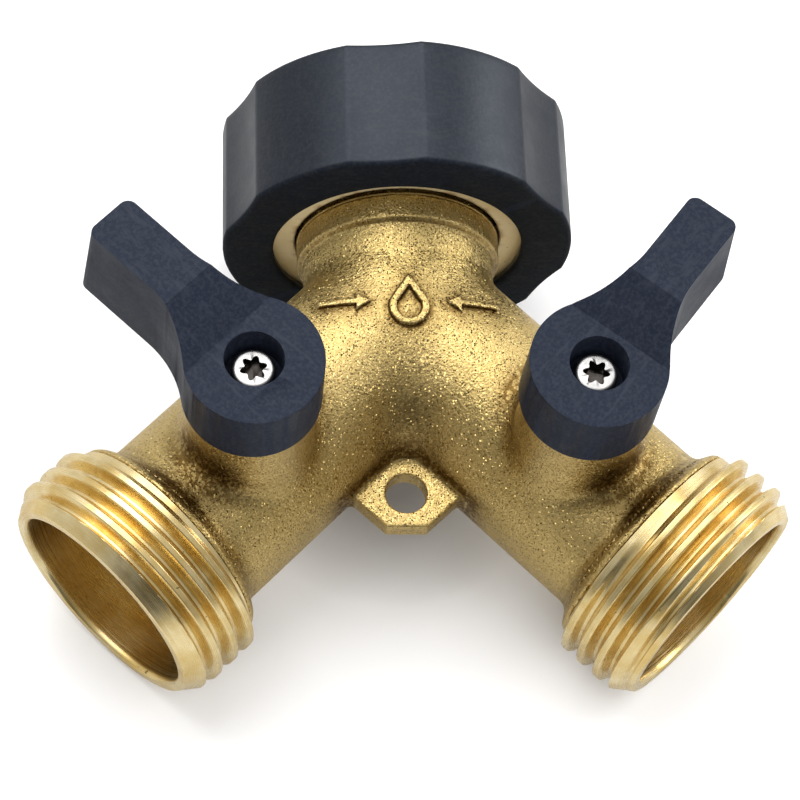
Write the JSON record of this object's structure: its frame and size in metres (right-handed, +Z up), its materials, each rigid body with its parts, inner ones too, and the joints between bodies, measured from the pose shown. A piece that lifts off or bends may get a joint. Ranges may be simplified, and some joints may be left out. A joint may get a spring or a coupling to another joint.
{
  "type": "two-way hose splitter",
  "caption": "Brass Y-shaped hose splitter: swivel inlet nut with a black rubber grip, threaded outlets each with its own ball valve and black lever, and a hanging tab.",
  "frame": {"origin": "centre of the footprint, on the surface that the splitter lies on", "axes": "+X across both outlets, to the right as seen from them; +Y towards the inlet nut; +Z up. The object lies as it does on a table, on the nut and both outlet lips, so its port plane is tipped 7.8 degrees about X"},
  "size_m": [0.0792, 0.0664, 0.0457],
  "materials": {
    "cast_brass": "blasted casting, fine grain",
    "turned_brass": "machined, bright",
    "black_rubber": "moulded rubber, satin",
    "black_plastic": "moulded plastic, matte",
    "seal_rubber": "seal rubber, matte",
    "seat_plastic": "white low-friction plastic",
    "bright_steel": "stainless steel, bright",
    "plated_ball": "chrome plate on brass"
  },
  "bodies": {
    "splitter_body": {"body": "cast_brass", "retaining_ring": "bright_steel", "left_seat_inner": "seat_plastic", "left_seat_outer": "seat_plastic", "left_ball_retainer": "turned_brass", "right_seat_inner": "seat_plastic", "right_seat_outer": "seat_plastic", "right_ball_retainer": "turned_brass"},
    "swivel_inlet": {"swivel_nut": "turned_brass", "nut_grip": "black_rubber", "hose_washer": "seal_rubber"},
    "left_valve": {"left_lever": "black_plastic", "left_lever_screw": "bright_steel", "left_stem": "turned_brass", "left_stem_o_ring_lower": "seal_rubber", "left_stem_o_ring_upper": "seal_rubber", "left_stem_washer": "seat_plastic", "left_ball": "plated_ball"},
    "right_valve": {"right_lever": "black_plastic", "right_lever_screw": "bright_steel", "right_stem": "turned_brass", "right_stem_o_ring_lower": "seal_rubber", "right_stem_o_ring_upper": "seal_rubber", "right_stem_washer": "seat_plastic", "right_ball": "plated_ball"}
  },
  "joints": [
    {"name": "nut_swivel", "type": "hinge", "parent": "splitter_body", "child": "swivel_inlet", "pos_m": [0.00013, 0.03037, 0.02061], "axis": [0, 0.9907, 0.1359], "continuous": true},
    {"name": "left_valve_turn", "type": "hinge", "parent": "splitter_body", "child": "left_valve", "pos_m": [-0.01641, -0.01002, 0.01507], "axis": [0, -0.1359, 0.9907], "range_deg": [-90, 0]},
    {"name": "right_valve_turn", "type": "hinge", "parent": "splitter_body", "child": "right_valve", "pos_m": [0.01667, -0.01002, 0.01507], "axis": [0, -0.1359, 0.9907], "range_deg": [-8, 82]}
  ]
}
